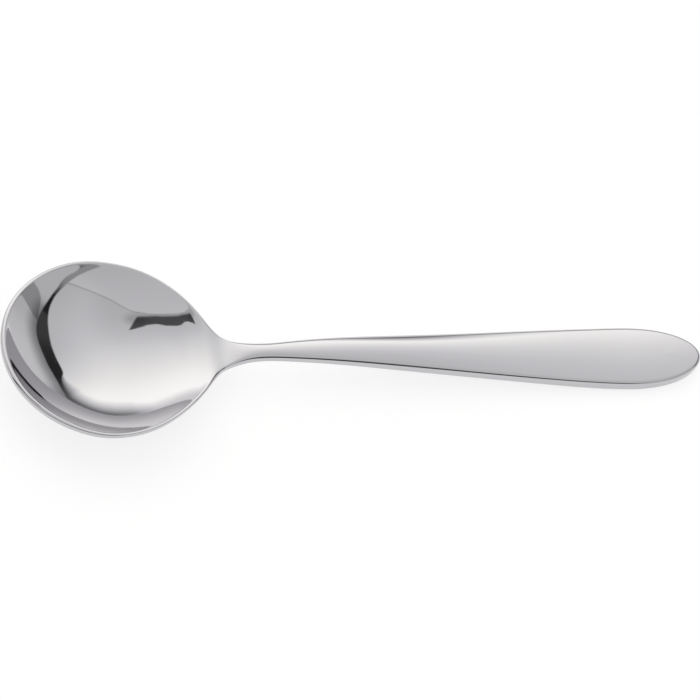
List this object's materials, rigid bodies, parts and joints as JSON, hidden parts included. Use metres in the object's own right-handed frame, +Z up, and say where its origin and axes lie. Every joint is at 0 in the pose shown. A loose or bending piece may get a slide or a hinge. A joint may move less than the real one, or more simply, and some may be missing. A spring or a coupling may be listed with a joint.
{
  "type": "soup spoon",
  "caption": "Polished steel soup spoon with a round bowl, a slim arched neck and a handle that widens to a rounded end.",
  "frame": {"origin": "on the table plane under the middle of the spoon's length and width, with the spoon lying as it rests: bowl open upwards, bowl's lowest point and handle's end on the table", "axes": "+X from the bowl towards the handle's end, +Y to the left of that as seen from above, +Z up out of the bowl"},
  "size_m": [0.17, 0.0458, 0.0115],
  "materials": {
    "steel": "mirror-polished stainless steel with very fine wear lines"
  },
  "bodies": {
    "root": {"bowl": "steel", "neck": "steel", "handle": "steel"}
  },
  "joints": []
}
